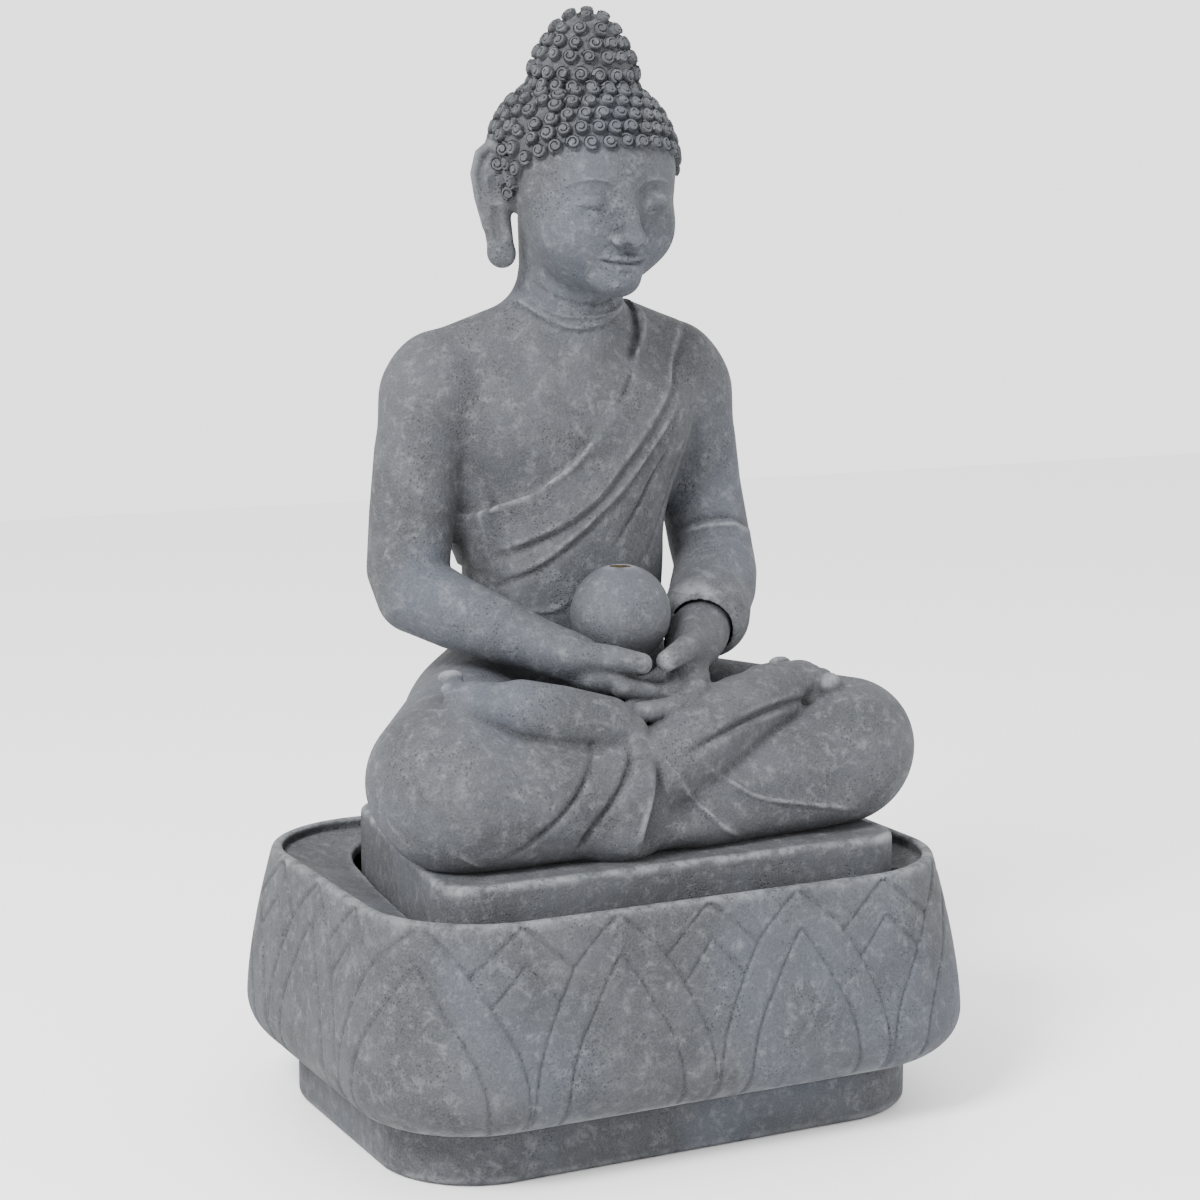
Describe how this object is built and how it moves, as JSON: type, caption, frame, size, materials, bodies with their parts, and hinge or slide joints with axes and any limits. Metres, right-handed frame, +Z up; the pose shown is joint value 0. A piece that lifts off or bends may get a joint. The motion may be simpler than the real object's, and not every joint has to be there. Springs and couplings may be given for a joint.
{
  "type": "garden water feature",
  "caption": "Seated meditating figure of cast stone on a lotus basin, with a ball in its hands that water runs over and a pump hidden in the basin.",
  "frame": {"origin": "centre of the basin's underside", "axes": "+Z up, the figure faces -Y, and its left hand is at +X"},
  "size_m": [0.536, 0.416, 0.9],
  "materials": {
    "cast_stone": "matt cast stone, blue-grey, fine pits, pale dusting",
    "nozzle_brass": "turned, dull",
    "clear_hose": "soft translucent vinyl",
    "clamp_steel": "rolled strip",
    "shaft_ceramic": "ground, smooth",
    "pump_plastic": "moulded, fine texture",
    "black_rubber": "moulded, matt"
  },
  "bodies": {
    "base": {"basin": "cast_stone", "riser_hose": "clear_hose", "hose_clamp": "clamp_steel", "pump_body": "pump_plastic", "pump_volute_cover": "pump_plastic", "pump_cable_gland": "black_rubber", "cable_grommet": "black_rubber", "plinth_pad_1": "black_rubber", "plinth_pad_2": "black_rubber", "plinth_pad_3": "black_rubber", "plinth_pad_4": "black_rubber", "pump_foot_1": "black_rubber", "pump_foot_2": "black_rubber", "pump_foot_3": "black_rubber", "pump_foot_4": "black_rubber"},
    "figure": {"statue": "cast_stone"},
    "ball": {"ball": "cast_stone", "water_nozzle": "nozzle_brass"},
    "rotor": {"pump_rotor": "pump_plastic", "rotor_shaft": "shaft_ceramic"},
    "strainer": {"strainer_cover": "pump_plastic"},
    "dial": {"flow_dial": "pump_plastic"},
    "plug": {"drain_plug": "black_rubber"}
  },
  "joints": [
    {"name": "statue_lift", "type": "slide", "parent": "base", "child": "figure", "axis": [0, 0, 1], "range_m": [0, 0.35]},
    {"name": "ball_lift", "type": "slide", "parent": "figure", "child": "ball", "axis": [0, 0, 1], "range_m": [0, 0.06]},
    {"name": "rotor_spin", "type": "hinge", "parent": "base", "child": "rotor", "pos_m": [0, -0.036, 0.043], "axis": [0, -1, 0], "continuous": true},
    {"name": "strainer_pull", "type": "slide", "parent": "base", "child": "strainer", "axis": [0, -1, 0], "range_m": [0, 0.025]},
    {"name": "flow_dial_turn", "type": "hinge", "parent": "strainer", "child": "dial", "pos_m": [0, -0.08, 0.05], "axis": [0, -1, 0], "range_deg": [-60, 60]},
    {"name": "drain_plug_pull", "type": "slide", "parent": "base", "child": "plug", "axis": [0, 1, 0], "range_m": [0, 0.035]}
  ]
}
